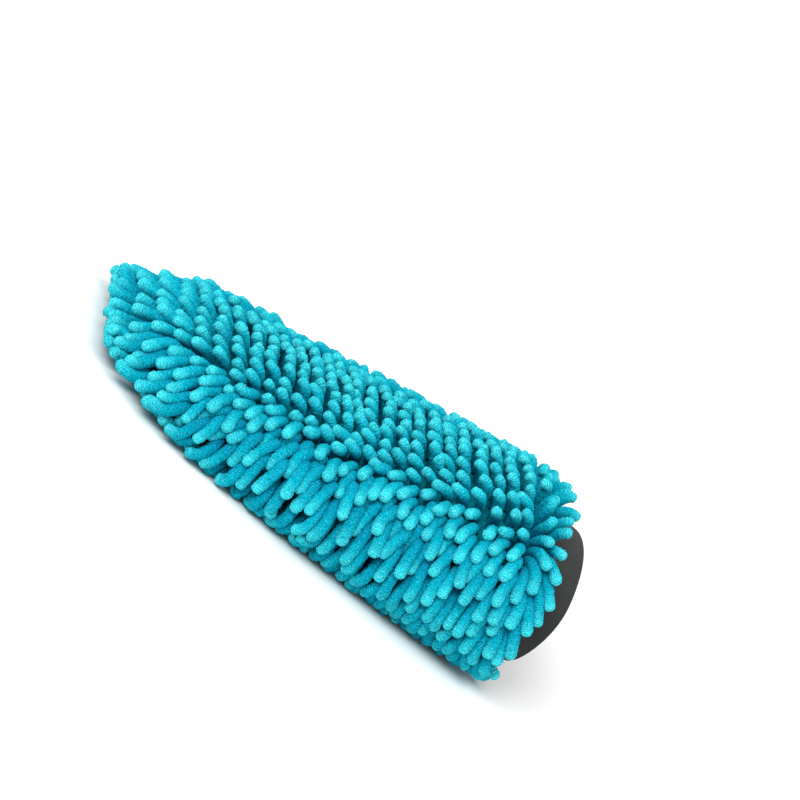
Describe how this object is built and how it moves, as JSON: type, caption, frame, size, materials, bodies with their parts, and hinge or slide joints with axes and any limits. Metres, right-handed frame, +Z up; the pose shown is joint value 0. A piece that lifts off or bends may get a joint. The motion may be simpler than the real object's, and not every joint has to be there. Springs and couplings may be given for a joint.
{
  "type": "wash mitt",
  "caption": "Hand-shaped microfibre wash mitt with rows of long chenille pile on both faces, a lined hand pocket and a ribbed elastic wrist cuff.",
  "frame": {"origin": "under the middle of the mitt, on the surface it lies on", "axes": "+X from the closed end to the wrist opening, +Y across the hand, +Z up"},
  "size_m": [0.28, 0.2, 0.0879],
  "materials": {
    "chenille": "long microfibre chenille pile, turquoise, matt with light fuzz",
    "backing_knit": "plain knit, turquoise",
    "lining_cloth": "smooth woven lining, charcoal",
    "seam_thread": "overlocked polyester thread, charcoal",
    "cuff_rib_knit": "fine ribbed stretch knit, charcoal",
    "elastic_webbing": "woven elastic, natural"
  },
  "bodies": {
    "mitt": {"top_pile_row_01": "chenille", "top_pile_row_02": "chenille", "top_pile_row_03": "chenille", "top_pile_row_04": "chenille", "top_pile_row_05": "chenille", "top_pile_row_06": "chenille", "top_pile_row_07": "chenille", "top_pile_row_08": "chenille", "top_pile_row_09": "chenille", "top_pile_row_10": "chenille", "top_pile_row_11": "chenille", "top_pile_row_12": "chenille", "top_pile_row_13": "chenille", "top_pile_row_14": "chenille", "top_pile_row_15": "chenille", "top_pile_row_16": "chenille", "top_pile_row_17": "chenille", "top_pile_row_18": "chenille", "top_pile_row_19": "chenille", "top_pile_row_20": "chenille", "top_pile_row_21": "chenille", "top_pile_row_22": "chenille", "top_pile_row_23": "chenille", "top_pile_row_24": "chenille", "bottom_pile_row_01": "chenille", "bottom_pile_row_02": "chenille", "bottom_pile_row_03": "chenille", "bottom_pile_row_04": "chenille", "bottom_pile_row_05": "chenille", "bottom_pile_row_06": "chenille", "bottom_pile_row_07": "chenille", "bottom_pile_row_08": "chenille", "bottom_pile_row_09": "chenille", "bottom_pile_row_10": "chenille", "bottom_pile_row_11": "chenille", "bottom_pile_row_12": "chenille", "bottom_pile_row_13": "chenille", "bottom_pile_row_14": "chenille", "bottom_pile_row_15": "chenille", "bottom_pile_row_16": "chenille", "bottom_pile_row_17": "chenille", "bottom_pile_row_18": "chenille", "bottom_pile_row_19": "chenille", "bottom_pile_row_20": "chenille", "bottom_pile_row_21": "chenille", "bottom_pile_row_22": "chenille", "bottom_pile_row_23": "chenille", "bottom_pile_row_24": "chenille", "top_backing": "backing_knit", "bottom_backing": "backing_knit", "top_lining": "lining_cloth", "bottom_lining": "lining_cloth", "edge_seam": "seam_thread", "top_wrist_seam": "seam_thread", "bottom_wrist_seam": "seam_thread", "cuff_side_seams": "seam_thread"},
    "cuff_upper_half": {"cuff_upper": "cuff_rib_knit", "cuff_elastic_upper": "elastic_webbing"},
    "cuff_lower_half": {"cuff_lower": "cuff_rib_knit", "cuff_elastic_lower": "elastic_webbing"}
  },
  "joints": [
    {"name": "cuff_upper_stretch", "type": "hinge", "parent": "mitt", "child": "cuff_upper_half", "pos_m": [0.0956, 0, 0.071], "axis": [0, -1, 0], "range_deg": [0, 12], "stiffness_Nm_per_rad": 0.3},
    {"name": "cuff_lower_stretch", "type": "hinge", "parent": "mitt", "child": "cuff_lower_half", "pos_m": [0.0956, 0, 0.011], "axis": [0, 1, 0], "range_deg": [0, 12], "stiffness_Nm_per_rad": 0.3}
  ],
  "couplings": [
    {"joint": "cuff_lower_stretch", "follows": "cuff_upper_stretch", "ratio": 1}
  ]
}
